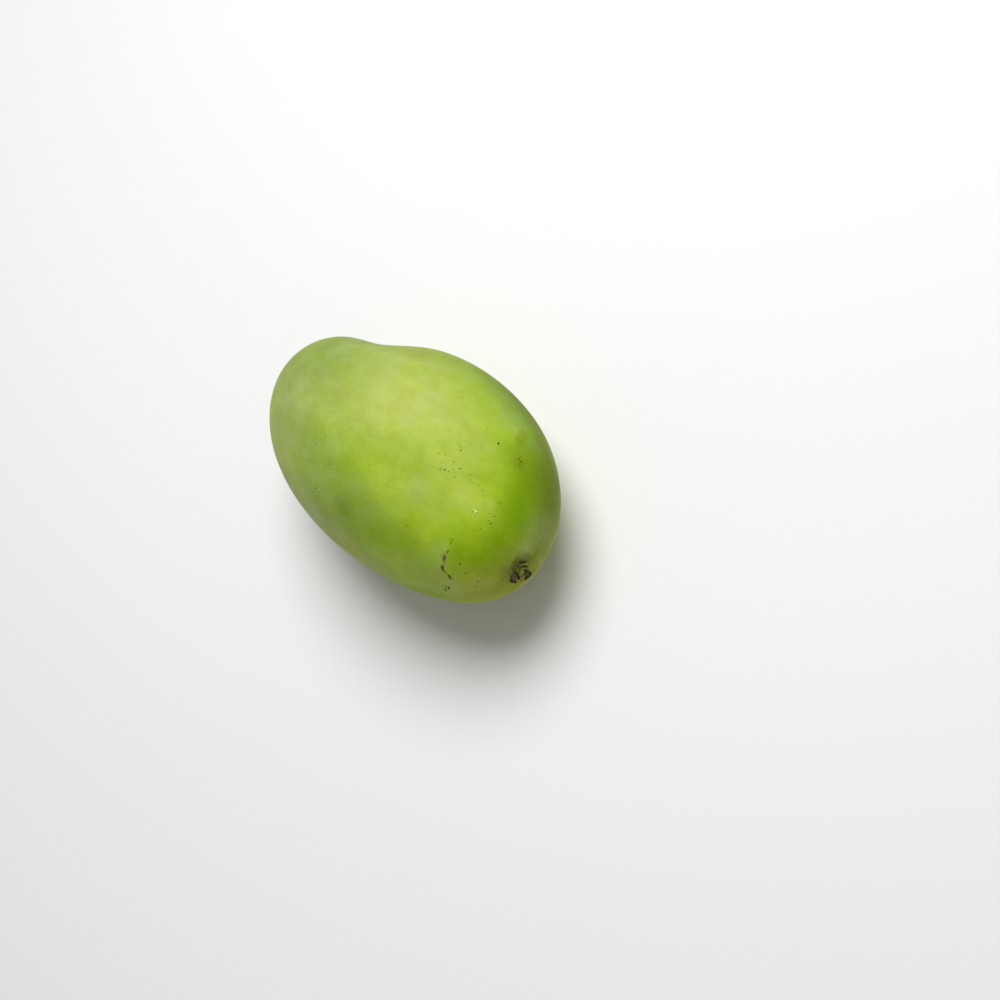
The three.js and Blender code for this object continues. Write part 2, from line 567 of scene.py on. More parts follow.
# A patch of tone: its place in the photograph, its radii along, across and up in mm, its colour, how
# strongly it is laid on, how soft its edge is and its turn in degrees
Tone = namedtuple("Tone", "name x_px y_px radii_mm colour strength softness turn", defaults=(0.7, 0))
TONES = (
    # Partly pale skin, partly painted sheen of the soft light on top of the cheek
    ("pale cheek with painted sheen", 404, 396, (37, 23, 28), "straw", 0.95, 1, -21),
    ("dull back", 312, 469, (40, 11, 15), "grey", 0.63, 0.5, -7),
    ("dull apex", 313, 352, (35, 26, 19), "grey", 0.95, 1, 10),
    # Partly pale skin, partly painted bounce light along the lower rim
    ("pale lower edge and painted bounce light", 355, 553, (83, 21, 8.2), "pale", 0.84, 0.74, 29),
    ("green low on the back", 412, 576, (26, 6.9, 11), "lime", 0.6, 0.86, 10),
    ("first cloud", 398, 495, (20, 5.1, 8.2), "lime", 0.26, 0.72, -11),
    ("second cloud", 426, 447, (13, 7.3, 8.3), "lime", 0.2, 0.71, 36),
    ("third cloud", 395, 453, (18, 7.8, 8), "fresh", 0.33, 0.6, 22),
    ("lime band", 486, 554, (22, 15, 13), "lime", 1, 0.68, -25),
    # Dark greyish skin of the belly edge, partly painted shade where a neighbouring fruit shaded that side
    ("belly edge", 530, 414, (54, 9.4, 15), "bloom_and_shade", 0.61, 0.83, 14),
    ("haze at the belly", 510, 409, (28, 4.8, 9.8), "haze", 0.3, 0.76),
    ("lime at the belly", 497, 418, (19, 8.2, 10), "lime", 0.26, 0.78, -8),
    # The same dark skin at the stem end of the belly, partly painted shade of the neighbouring fruit
    ("stem end of the belly", 547, 486, (12, 13, 14), "bloom_and_shade", 0.57, 0.68),
    ("rubbed stripe", 519, 506, (8.9, 22, 6.9), "deep", 0.89, 0.91, 24),
    ("rubbed patch", 480, 551, (11, 8, 14), "deep", 0.5, 0.4, 10),
    ("rubbed by the graze", 464, 560, (5, 6.2, 7.6), "deep", 0.3, 0.25),
    ("lime by the sap", 496, 477, (7.8, 8, 6.7), "lime", 0.3, 0.68, -5),
    ("pale by the sap", 468, 498, (8.2, 4, 7.8), "straw", 0.35, 0.77, 7),
    ("russet below", 482, 592, (9.3, 8.3, 9.8), "russet", 0.5, 0.74),
    ("russet around the scar", 522, 569, (8.3, 8.8, 9.8), "russet", 0.56, 0.72),
    ("pale above the scar", 545, 536, (4.4, 9.3, 7.4), "pale", 0.46, 0.88, -8),
    ("haze of the apex", 297, 498, (26, 15, 15), "waxy", 0.57, 0.95, -2),
)
# Smaller touches laid over them: clouds of wax, dull spots, the skin around the marks, painted shadow
# beside the scar, and painted shade and painted light along the rims
TOUCHES = (
    ("cloud of wax on the back", 334, 443, (3.7, 3.6, 4), "mist", 0.26),
    ("olive by that cloud", 315, 429, (4.3, 3.2, 4), "olive", 0.25),
    ("dark low on the back", 345, 506, (3.9, 3.7, 4), "bloom_and_shade", 0.18),
    ("faint wax on the back", 328, 486, (4.5, 4.4, 4.2), "mist", 0.12, 0.8),
    ("streak on the back", 366, 513, (5.5, 3, 4), "haze", 0.14, 0.7, -4),
    ("wax under the cheek", 412, 492, (3.8, 3.6, 4), "mist", 0.2),
    ("wax above the graze", 435, 513, (4.3, 2.5, 3.8), "mist", 0.15, 0.6, 12),
    ("olive spot on the cheek", 414, 466, (3, 2.4, 3), "olive", 0.3),
    ("small olive spot", 383, 441, (2.3, 2, 3), "olive", 0.17),
    ("second small olive spot", 359, 440, (2.3, 1.8, 3), "olive", 0.25),
    ("olive at the apex", 341, 371, (6.3, 3.7, 5), "olive", 0.22, 0.7, 6),
    ("lime under the cheek", 421, 522, (5.7, 3.9, 4.1), "lime", 0.12, 0.8),
    ("wax left of the graze", 440, 551, (2.4, 3.6, 4.2), "mist", 0.3, 0.6, 9),
    ("wax at the belly", 506, 417, (3, 2.9, 3.2), "mist", 0.14),
    ("wax by the brown spot", 513.5, 429.5, (1.4, 1.4, 1.8), "mist", 0.22),
    ("brown spot", 523.5, 434, (1.8, 1.5, 2.1), "umber", 0.48, 0.6),
    ("brown spot below", 520.5, 441, (1.4, 2, 1.8), "umber", 0.52, 0.6, 3),
    ("brown by the ticks", 519.7, 461.5, (1.4, 2.8, 1.7), "umber", 0.5, 0.6, 4),
    ("pale under the specks", 441, 481, (3.8, 3.2, 4), "lime", 0.3, 0.8),
    ("pale streak above the scar", 524, 553.5, (1.1, 1.9, 1.2), "mist", 0.35, 0.5),
    ("tan above the scar", 533, 559, (2.3, 2.6, 3.4), "umber", 0.55, 0.5),
    ("haze above the scar", 526, 547, (1.7, 2.4, 2.5), "mist", 0.28, 0.6, -9),
    ("russet of the belly edge", 544, 530, (2.1, 4.4, 3.5), "russet", 0.18, 0.7, 7),
    ("pale by the specks", 491.7, 503.8, (1.4, 1.2, 1.8), "straw", 0.25, 0.6),
    ("olive above the sap", 486, 479, (2, 2.4, 3), "olive", 0.22),
    ("olive above the graze", 407, 525, (2.4, 2, 3), "olive", 0.35),
    ("olive left of the graze", 418, 547, (2.4, 1.7, 2.8), "olive", 0.27, 0.7, 5),
    ("straw below the graze", 449, 587, (7.5, 3.8, 4.6), "straw", 0.4),
    ("brown low at the stem end", 505, 585, (4.5, 4, 4), "umber", 0.42),
    ("dark under the cheek", 392, 480, (2.1, 2.1, 3), "grey", 0.18),
    ("olive by the specks", 447, 446, (2.4, 2.5, 3), "olive", 0.2),
    ("olive under the wax", 347, 465, (3, 3.1, 3), "olive", 0.27),
    ("smoky stain", 520, 562.5, (2.6, 3.3, 3.2), "smoke", 0.85, 0.75),
    # Painted shadow: brownish shade to the left of the stem scar
    ("painted shadow beside the scar", 510, 572, (2.4, 3, 3.6), "smoke", 0.52, 0.9),
    ("brown under the scar", 517.5, 586, (4, 4, 3), "umber", 0.5, 0.8),
    ("stain right of the scar", 527.5, 562.5, (1.5, 2, 2.4), "smoke", 0.3, 0.8),
    ("dull beside the scar", 532, 571, (2.2, 3, 4), "umber", 0.4),
    ("pale low at the graze", 440, 582, (9, 4.5, 6), "straw", 0.2, 0.8),
    ("pale between the scars", 484, 576, (5.5, 3, 4), "straw", 0.17, 0.8),
    ("lime above the rubbed patch", 476, 540, (4.5, 4, 5), "lime", 0.18, 0.8),
    ("lime at the rubbed stripe", 510, 536, (2.5, 2.5, 3.5), "lime", 0.16),
    # Painted shade: the rims along the belly, the stem end and by the scar are darkened where neighbouring
    # fruit shaded them
    ("shaded rim of the belly", 553, 462, (12, 2.2, 10), "speck", 0.35, 0.9, -41),
    ("shaded rim of the stem end", 557, 505, (13, 2.1, 12), "speck", 0.38, 0.9, -52),
    ("shaded rim by the scar", 547, 550, (8, 2.2, 9), "speck", 0.42, 0.8, -85),
    # Painted light: the rim of the back made paler where a neighbouring fruit lit it
    ("painted light on the rim of the back", 358, 556, (14, 2.8, 9), "straw", 0.7, 0.8, 3),
    ("dull rim of the beak", 357, 341, (12, 2.5, 6), "smoke", 0.12, 0.8, 20),
    ("dull band at the belly", 490, 413, (12, 3.2, 5), "grey", 0.25, 0.8, 8),
    ("green below the sinus", 422, 373, (13, 4, 6), "fresh", 0.17, 0.8, 25),
    ("bright wax on the cheek", 438, 458, (4.5, 2, 3), "bright", 0.45, 0.8, 3),
    ("bright wax towards the apex", 386, 430, (3.6, 1.6, 2.6), "bright", 0.35, 0.8, 41),
    ("bright wax above the sap", 458, 482, (2.6, 1.8, 2.6), "bright", 0.35, 0.8),
    ("haze low at the belly", 534, 446, (2, 3, 4), "haze", 0.35, 0.8),
    ("pale at the strokes", 478, 582, (4, 2.4, 3), "straw", 0.25),
    ("pale by the belly", 484, 441, (3.5, 3, 4), "straw", 0.2, 0.8),
    ("haze of the belly edge", 514, 418, (3.5, 2.5, 4), "haze", 0.3, 0.8),
    ("tan beside the scar", 537, 561, (1.6, 2.6, 2.6), "healed", 0.35, 0.5),
    ("healed skin of the graze", 444.5, 557, (1.3, 1.5, 2.1), "healed", 0.8, 0.4),
    ("healed skin left of the crust", 440, 572, (1.6, 1.6, 2.5), "healed", 0.6),
    ("healed skin lower down", 444.3, 564.5, (1, 1, 1.3), "healed", 0.8, 0.4),
    ("healed skin at the crust", 444.5, 570.5, (1, 0.8, 1), "healed", 0.65, 0.5),
    ("healed skin at the tail", 450, 577, (1.1, 0.9, 1.1), "healed", 0.5, 0.6),
    ("smudge by the sap", 499, 503, (0.6, 0.6, 0.8), "speck", 0.35),
    ("smudge among the specks", 470.6, 475, (0.7, 0.6, 0.7), "speck", 0.22),
    ("smudge by the scar", 496, 562, (0.6, 0.5, 0.7), "umber", 0.25, 0.6),
)
# Where the wax thickens along the fruit, and the height below which the underside's colour comes in
WAX_FROM = 5 * MM
WAX_TO = -45 * MM
UNDER_FROM = 42 * MM
UNDER_TO = 29 * MM
# Fine flecks, strongest in a patch on the back, and the broken film of wax over everything
FLECKED_BACK_PX = (345, 480)
FLECKED_RADII = Vector((34, 17, 24)) * MM
PALE_FLECKS = 0.1
DARK_FLECKS = 0.12
FLECKS_ELSEWHERE = 0.25
FLECK_EDGE = (0.13, 0.24)
FILM_LIGHT = 0.04
FILM_BLUE = 0.2
FILM_EDGE = 0.09
# Roughness of the skin, from the least wax to the most, and how high its fine relief stands
SATIN = (0.46, 0.6)
WAX_RANGE = 0.2
RELIEF = 0.2 * MM


def opaque(colour):
    return (*colour, 1.0)


def start_paint(material):
    """The graph of a material, its shader and a point on the piece that wears it."""
    graph = Graph(material.node_tree)
    shader = material.node_tree.nodes["Principled BSDF"]
    return graph, shader, graph.add("ShaderNodeTexCoord").outputs["Object"]


def lay_tones(graph, point, colour, tones, cloud, colours, view):
    """The colour with soft patches laid over it, one after the other."""
    for row in tones:
        tone = Tone(*row)
        place, _ = view.at_pixel(tone.x_px, tone.y_px)
        mask, = graph.group(
            "Soft patch", point=point, centre=place, radii=Vector(tone.radii_mm) * MM,
            turn=-math.radians(tone.turn), softness=tone.softness, cloud=cloud)
        share = mask.labelled(tone.name) * tone.strength
        colour = graph.mix(share, colour, opaque(getattr(colours, tone.colour)))
    return colour


def paint_skin(material, colours, view):
    """Base colour, roughness and fine relief of the skin."""
    graph, shader, point = start_paint(material)
    along, _, height = graph.split(point)
    colour = graph.mix(graph.ramp(along, WAX_FROM, WAX_TO), opaque(colours.fresh), opaque(colours.waxy))
    colour = graph.mix(graph.ramp(height, UNDER_FROM, UNDER_TO), colour, opaque(colours.under))
    broad, = graph.group("Mottle", point=point, scale=150, strength=0.6)
    colour = lay_tones(graph, point, colour, TONES, broad, colours, view)
    ragged, = graph.group("Mottle", point=point, scale=500, strength=1.6)
    colour = lay_tones(graph, point, colour, TOUCHES, ragged, colours, view)
    shade, = graph.group("Mottle", point=point, scale=90, detail=5.0, strength=0.4)
    grain, = graph.group("Mottle", point=point, scale=700, detail=2.0, strength=0.12)
    wax, = graph.group("Mottle", point=point, scale=60, detail=4.0, strength=0.9)
    clouds, = graph.group("Mottle", point=point, scale=190, detail=3.0)
    film = graph.ramp(clouds, -FILM_EDGE, FILM_EDGE) - 0.5
    speckle, = graph.group("Mottle", point=point, scale=950, detail=1.0)
    pale_flecks = PALE_FLECKS * graph.ramp(speckle, *FLECK_EDGE)
    flecks = pale_flecks - DARK_FLECKS * graph.ramp(-speckle, *FLECK_EDGE)
    back, _ = view.at_pixel(*FLECKED_BACK_PX)
    flecked, = graph.group("Soft patch", point=point, centre=back, radii=FLECKED_RADII, softness=0.8)
    light = 1 + shade + grain + FILM_LIGHT * film + flecks * (FLECKS_ELSEWHERE + flecked)
    blue = light + wax + FILM_BLUE * film
    colour = graph.vector_sum("MULTIPLY", colour, graph.join(light, light, blue))
    peel = graph.noise(point, 900, detail=2.0)
    bump = graph.add("ShaderNodeBump", {"Strength": 0.12, "Distance": RELIEF, "Height": peel})
    # The skin reflects little light: the soft sheen on top of the cheek is painted into its colour
    graph.feed(shader, {
        "Base Color": colour, "Roughness": graph.ramp(wax, -WAX_RANGE, WAX_RANGE, *SATIN),
        "Normal": bump.outputs[0], "Specular IOR Level": 0.03,
        "Subsurface Weight": 0.1, "Subsurface Radius": (0.9, 1.0, 0.25), "Subsurface Scale": 3 * MM,
    })


def paint_cork(name, dark, light, roughness=0.85, scale=900):
    """A dry corky finish between two colours."""
    material = empty_material(name)
    graph, shader, point = start_paint(material)
    colour, height = graph.group(
        "Dry cork", point=point, scale=scale, dark=opaque(dark), light=opaque(light))
    bump = graph.add("ShaderNodeBump", {"Strength": 0.5, "Distance": RELIEF, "Height": height})
    graph.feed(shader, {
        "Base Color": colour, "Normal": bump.outputs[0], "Roughness": roughness,
        "Specular IOR Level": 0.05,
    })
    return material


def paint_sap(name, thick, thin):
    """A glossy finish that runs between two colours."""
    material = empty_material(name)
    graph, shader, point = start_paint(material)
    milky = graph.ramp(graph.noise(point, 1200, detail=2.0), 0.2, 0.5)
    graph.feed(shader, {
        "Base Color": graph.mix(milky, opaque(thick), opaque(thin)), "Roughness": 0.15,
        "Coat Weight": 0.4, "Coat Roughness": 0.05,
    })
    return material


class MANGO_OT_paint_skin(bpy.types.Operator):
    """Paint the skin: waxy apex, pale cheek, rubbed green, bloom, russet and the stain of the scar"""

    bl_idname = "mango.paint_skin"
    bl_label = "Paint the skin"

    def execute(self, context):
        build_patch_group()
        build_mottle_group()
        build_cork_group()
        paint_skin(bpy.data.materials["waxy skin"], context.scene.mango_colours, SkinView())
        return {"FINISHED"}


# Pores
PORE_SPACING = 4.2 * MM
PORE_RADIUS = 0.17 * MM
PORE_FLATNESS = 0.2
LOWEST_MARK = 3 * MM
SEED = 4


def build_pore_tree():
    """Low domes scattered over the skin, none of them below the resting height."""
    inputs = [
        ("Geometry", "Geometry", None),
        ("Spacing", "Float", PORE_SPACING), ("Density", "Float", 60000.0),
        ("Radius", "Float", PORE_RADIUS), ("Flatness", "Float", PORE_FLATNESS),
        ("Lowest", "Float", LOWEST_MARK), ("Seed", "Int", SEED), ("Material", "Material", None),
    ]
    graph, given = new_tree("Skin pores", "GeometryNodeTree", inputs, [("Geometry", "Geometry")])
    scatter = {"Mesh": given["Geometry"], "Distance Min": given["Spacing"], "Density Max": given["Density"],
               "Seed": given["Seed"]}
    points = graph.add("GeometryNodeDistributePointsOnFaces", scatter, distribute_method="POISSON")
    height = graph.split(graph.add("GeometryNodeInputPosition").outputs[0])[2]
    clear = graph.sum("GREATER_THAN", height, given["Lowest"])
    dome = graph.add("GeometryNodeMeshIcoSphere", {"Radius": given["Radius"], "Subdivisions": 1})
    flat = graph.join(1.0, 1.0, given["Flatness"])
    low_dome = graph.add("GeometryNodeTransform", {"Geometry": dome.outputs["Mesh"], "Scale": flat})
    vary = graph.add("FunctionNodeRandomValue", {"Min": 0.5, "Max": 1.3, "Seed": given["Seed"]})
    placed = {"Points": points.outputs["Points"], "Selection": clear, "Instance": low_dome.outputs[0],
              "Rotation": points.outputs["Rotation"], "Scale": graph.join(*[float_output(vary)] * 3)}
    finish_geometry(graph, graph.add("GeometryNodeInstanceOnPoints", placed).outputs[0], given["Material"])
    return graph.tree


def float_output(node):
    return next(socket for socket in node.outputs if socket.type == "VALUE" and socket.enabled)


class MangoMarks(bpy.types.PropertyGroup):
    """Pores, specks and crusts."""

    pore_spacing: FloatProperty(
        name="Pore spacing", description="Least distance between two pores",
        default=PORE_SPACING, min=0.002, max=0.02, unit="LENGTH", precision=4)
    pore_radius: FloatProperty(
        name="Pore radius", description="Radius of a middling pore",
        default=PORE_RADIUS, min=0.00005, max=0.001, unit="LENGTH", precision=5)
    hidden_specks: IntProperty(
        name="Hidden specks", description="Specks on the sides that the photograph does not show",
        default=60, min=0, max=400)
    seed: IntProperty(name="Seed", description="Seed of all that is scattered", default=SEED, min=0)


class MANGO_OT_grow_pores(bpy.types.Operator):
    """Scatter the pale pores over the skin"""

    bl_idname = "mango.grow_pores"
    bl_label = "Grow the pores"

    def execute(self, context):
        marks = context.scene.mango_marks
        colours = context.scene.mango_colours
        values = {
            "Spacing": marks.pore_spacing, "Radius": marks.pore_radius, "Seed": marks.seed,
            "Material": paint_cork("pore cork", colours.pore, colours.straw, 0.7),
        }
        skin = bpy.data.objects["skin"].data.copy()
        keep(run_tree("pores", build_pore_tree(), skin, values))
        return {"FINISHED"}


# Crusts of cork and sap
class CrustMesh:
    """A mesh of low crusts. Each is a closed shell with its rim and its underside sunk in the skin."""

    SINK = 0.05 * MM
    ROOT = 0.4 * MM
    # How often the edge goes in and out, broadly and finely, and the share of the fine one
    EDGE = (1.6, 5, 0.45)
    # How often lumps come, broad and fine, and how strong each kind is
    LUMPS = (3, 8)
    LUMP_SHARES = (0.5, 0.4)
    RIDGES = 2.2

    def __init__(self):
        self.build = bmesh.new()
        self.count = 0

    def lay(self, steps, crust, height, rings, segments):
        """steps gives the skin a step away from the middle of the crust, in the units of its radii."""
        seed = Vector((self.count * 5.7, 0, self.count * 2.3))
        self.count += 1
        turn = math.radians(crust.turn)
        place, normal = steps(0, 0)
        top = self.build.verts.new(place + normal * height * (1 - crust.dish))
        root = self.build.verts.new(place - normal * self.ROOT)
        loops = []
        for ring in range(1, rings + 1):
            reach = ring / rings
            loop = []
            for k in range(segments):
                angle = math.tau * k / segments
                way = Vector((math.cos(angle), math.sin(angle), 0))
                edge = noise.noise(way * self.EDGE[0] + seed)
                edge += self.EDGE[2] * noise.noise(way * self.EDGE[1] - seed)
                ragged = reach * (1 + crust.ragged * edge)
                across, down = way.x * ragged * crust.wide, way.y * ragged * crust.high
                place, normal = steps(across * math.cos(turn) - down * math.sin(turn),
                                      across * math.sin(turn) + down * math.cos(turn))
                bulge = (1 - reach ** 4) * (1 - crust.dish * (1 - reach ** 2))
                ridge = 1 + crust.ridge * math.cos(self.RIDGES * math.pi * way.y * reach)
                rough = 1 + self.LUMP_SHARES[0] * noise.noise(way * reach * self.LUMPS[0] + seed * 2)
                rough += self.LUMP_SHARES[1] * noise.noise(way * reach * self.LUMPS[1] + seed)
                lift = -self.SINK if ring == rings else height * bulge * ridge * rough
                loop.append(self.build.verts.new(place + normal * lift))
            loops.append(loop)
        for k in range(segments):
            after = (k + 1) % segments
            self.build.faces.new((top, loops[0][k], loops[0][after]))
            self.build.faces.new((root, loops[-1][after], loops[-1][k]))
            for inner, outer in zip(loops, loops[1:]):
                self.build.faces.new((inner[k], outer[k], outer[after], inner[after]))

    def finish(self, name, material):
        """The piece, smooth and with its faces outwards."""
        bmesh.ops.recalc_face_normals(self.build, faces=self.build.faces)
        for face in self.build.faces:
            face.smooth = True
        mesh = bpy.data.meshes.new(name)
        self.build.to_mesh(mesh)
        self.build.free()
        mesh.materials.append(material)
        return keep(link(bpy.data.objects.new(name, mesh)))


# A crust: its middle and half sizes in the photograph, its turn in degrees (clockwise), its height,
# how ragged its edge is, how hollow its middle is and how strong its ridges are
Crust = namedtuple(
    "Crust", "x_px y_px wide high turn height_mm ragged dish ridge", defaults=(0, 0.25, 0.2, 0, 0))
GREY_FLAKES = (
    (513.9, 577.2, 3.4, 4.6, 16, 0.6, 0.35, 0.45),
    (527.5, 574.2, 3.5, 3.9, 28, 0.6, 0.4, 0.2, 0.5),
)
DARK_FLAKES = (
    (516.2, 573.4, 3.3, 1.3, 42, 0.55, 0.35),
    (518.3, 577.8, 1.1, 2.0, -10, 0.65, 0.35),
    (511.5, 580.5, 1.6, 1.3, 0, 0.6, 0.45),
    (514.2, 581.6, 1.9, 1.3, 0, 0.55, 0.45),
    (525.6, 570.5, 1.9, 0.8, 5, 0.5, 0.35),
    (529.2, 573.5, 2.4, 0.6, -38, 0.8, 0.35),
    (526.8, 576.0, 2.0, 0.5, -38, 0.75, 0.35),
    (525.3, 578.2, 1.0, 1.2, 30, 0.6, 0.35),
    (523.2, 562.0, 4.3, 1.7, -4, 0.15, 0.5),
    (523.8, 566.4, 4.4, 1.2, -4, 0.3, 0.45),
    (517.9, 566.4, 0.8, 1.0, 0, 0.3, 0.6),
    (519.6, 568.5, 0.5, 1.0, 20, 0.2, 0.6),
    (516.4, 569.0, 0.9, 0.5, -40, 0.2, 0.6),
    (512.6, 568.8, 0.7, 0.6, 0, 0.2, 0.4),
    (514.0, 570.6, 1.0, 0.5, 20, 0.25, 0.4),
)
SCAR_CHIPS = (
    (519.6, 566.4, 0.7, 0.9, 0, 0.35, 0.4),
    (522.6, 564.4, 3.0, 0.6, -14, 0.3, 0.4),
    (527.6, 568.2, 1.6, 0.6, 20, 0.3, 0.4),
    (516.9, 580.7, 0.9, 0.8, 0, 0.4, 0.4),
    (515.9, 566.8, 0.6, 0.6, 0, 0.25, 0.4),
    (517.9, 568.3, 0.5, 0.5, 0, 0.3, 0.4),
)
STUB = (
    (521.6, 574.8, 3.2, 4.9, 0, 0.6, 0.2, 0.3),
    (522.4, 580.6, 2.4, 1.0, -20, 0.2, 0.4),
)
STUB_PITH = (
    (521.7, 574.2, 1.9, 3.1, 0, 0.62, 0.15),
)
GRAZE_TAN = (
    (444.5, 557.6, 1.7, 3.6, 12, 0.2, 0.25),
)
HEALED_CHIPS = (
    (444.6, 563.2, 0.7, 2.2, 8, 0.1, 0.3),
    (442.6, 555.2, 0.5, 2.0, 14, 0.1, 0.3),
    (443.4, 571.3, 0.7, 0.6, 0, 0.12, 0.4),
    (441.3, 569.2, 0.6, 0.5, 0, 0.12, 0.4),
    (450.4, 578.9, 0.8, 0.5, 0, 0.12, 0.4),
    (445.4, 587.9, 0.6, 0.6, 0, 0.1, 0.4),
    (445.4, 591.0, 0.7, 0.5, 0, 0.1, 0.4),
)
GRAZE_CRUST = (
    (447.7, 551.6, 0.7, 1.6, 38, 0.15, 0.35),
    (442.1, 566.9, 1.6, 1.8, -20, 0.25, 0.35),
    (443.3, 569.3, 0.9, 1.3, -35, 0.3, 0.35),
    (445.6, 572.2, 0.4, 2.0, -42, 0.15, 0.4),
    (449.2, 576.2, 1.0, 2.3, -38, 0.3, 0.35),
    (451.9, 578.4, 0.4, 1.0, -60, 0.15, 0.4),
    (448.8, 587.9, 1.7, 0.8, 38, 0.2, 0.4),
    (445.6, 589.5, 0.9, 0.6, -20, 0.2, 0.4),
    (445.9, 586.4, 0.6, 0.4, 0, 0.1, 0.4),
    (450.8, 542.6, 0.5, 1.2, 10, 0.1, 0.4),
    (452.4, 539.6, 0.8, 0.5, 0, 0.1, 0.4),
)
RUSSET_STROKES = (
    (475.5, 586.3, 2.8, 0.35, -2, 0.05, 0.3),
    (466.5, 593.6, 2.2, 0.35, 2, 0.05, 0.3),
    (478, 592.6, 3.4, 0.3, 0, 0.05, 0.3),
)
SAP_FILM = (
    (474.1, 511.9, 2.5, 2.2, -35, 0.1, 0.1, 0.5),
)
# Beads of the drop: their near-white colour is painted glint, light shining through the clear sap
SAP_GLINT_BEADS = (
    (475.5, 511.9, 1.7, 1.2, -50, 0.22, 0.1),
    (473.7, 513.4, 1.1, 0.7, -25, 0.16, 0.1),
    (473.4, 510.3, 0.7, 0.6, -40, 0.14, 0.1),
)
# Specks: x, y and radius in pixels
DARK_SPECKS = (
    (498.7, 443.4, 1.5), (461, 450.4, 1.1), (460.4, 468.5, 0.9), (459.6, 563.7, 1.3), (465.3, 573.1, 0.9),
    (478, 581.5, 0.9), (490.7, 523.5, 1.1), (494.7, 516.4, 0.8), (448.5, 471.4, 0.8), (519.2, 459.4, 1.2),
    (520.8, 461.8, 1.1), (522.4, 463.9, 0.9), (519.7, 465.7, 1.1), (536.6, 562.6, 0.7),
)
FAINT_SPECKS = (
    (460.7, 446.6, 0.9), (439.4, 453.4, 0.8), (444.9, 454.3, 0.9), (460.1, 457.5, 0.8), (456.3, 457.2, 0.6),
    (441.7, 462.1, 0.9), (445.8, 464.8, 0.6), (453.7, 461.9, 1.0), (438, 471.5, 0.7), (455.2, 476.9, 0.8),
    (444.7, 469.8, 1.3), (440.3, 469.3, 1.2), (470.4, 443.4, 0.6), (438, 441.7, 0.6), (478.4, 485.4, 0.8),
    (482.9, 490.5, 0.9), (487.4, 427, 0.8), (509.9, 429.1, 0.6), (472.2, 530.5, 0.8), (480.5, 528.5, 0.8),
    (501.8, 525.7, 0.7), (502.8, 534.8, 0.9), (526.5, 520.4, 0.7), (538, 543.1, 0.7), (485.6, 503.7, 0.8),
    (489.9, 513.5, 0.7), (406.5, 525.7, 0.9), (516.3, 466.5, 0.8), (523.3, 467.9, 0.8), (520.6, 471, 0.9),
    (495.8, 561.6, 1.0), (462, 533.2, 0.9), (497.5, 485, 0.9), (489, 520.6, 0.8), (341.6, 462.5, 0.9),
    (346.4, 465.2, 0.8), (331.2, 473, 0.8), (325.8, 436, 0.9), (316.2, 443.3, 0.9), (369.7, 465, 0.9),
    (386.6, 485.2, 0.8), (315.5, 487.8, 1.3), (346.3, 512.5, 0.9), (339.7, 432.3, 0.8),
)
PALE_SPECKS = (
    (525.9, 429.9, 1.0), (516.6, 430.6, 1.1), (493.4, 516.4, 0.8), (518, 427.6, 0.7), (502.5, 524, 0.8),
    (441.7, 466, 1.2), (458.9, 470.6, 0.7), (462.2, 471.2, 0.7), (449, 473.1, 0.6), (461.6, 452.6, 0.6),
    (437.9, 455.6, 0.8), (455.6, 479, 0.7), (496.6, 441.4, 0.7), (521.7, 463.9, 0.6), (460.9, 443.8, 0.6),
    (462.6, 457.9, 0.6), (452.5, 464.2, 0.7), (332.6, 496, 1.0), (330.6, 474.6, 0.7), (318.6, 490, 1.0),
    (385.6, 430.2, 0.9), (347, 466, 0.6), (537.6, 560.4, 0.7), (480, 581.6, 0.6), (475.8, 581.9, 0.6),
)
SPECK_HEIGHT = 0.08 * MM
SPECK_FINENESS = {"rings": 2, "segments": 9}
# Specks on the hidden sides: which of them are dark, their radii, and where they are cast from
HIDDEN_DARK_SHARE = 0.35
HIDDEN_RADII_MM = (0.18, 0.4)
FRUIT_MIDDLE = Vector((0, 0, 33)) * MM
CAST_FROM = 90 * MM


def lay_specks(name, specks, material, hidden=()):
    """Small round crusts at pixels, and at hidden places given as (point, radius) in metres."""
    view = SkinView()
    mesh = CrustMesh()
    for x_px, y_px, radius in specks:
        speck = Crust(x_px, y_px, radius, radius, ragged=0.5)
        mesh.lay(view.steps_from_pixel(x_px, y_px), speck, SPECK_HEIGHT, **SPECK_FINENESS)
    for point, radius in hidden:
        speck = Crust(0, 0, radius, radius, ragged=0.5)
        mesh.lay(view.steps_from_point(point), speck, SPECK_HEIGHT, **SPECK_FINENESS)
    return mesh.finish(name, material)


def lay_crusts(name, crusts, material, rings=7, segments=32):
    """Crusts at their places in the photograph, as one piece."""
    view = SkinView()
    mesh = CrustMesh()
    for row in crusts:
        crust = Crust(*row)
        steps = view.steps_from_pixel(crust.x_px, crust.y_px)
        mesh.lay(steps, crust, crust.height_mm * MM, rings, segments)
    return mesh.finish(name, material)


def hidden_places(count, seed):
    """Scattered places on the skin that the photograph does not show, as (point, radius)."""
    view = SkinView()
    draw = random.Random(seed)
    places = []
    while len(places) < count:
        way = Vector((draw.gauss(0, 1), draw.gauss(0, 1), draw.gauss(0, 1))).normalized()
        radius = draw.uniform(*HIDDEN_RADII_MM) * MM
        place, normal = view.nearest(FRUIT_MIDDLE + way * CAST_FROM)
        if normal.dot(CAMERA_PLACE - place) < 0 and place.z > LOWEST_MARK:
            places.append((place, radius))
    return places


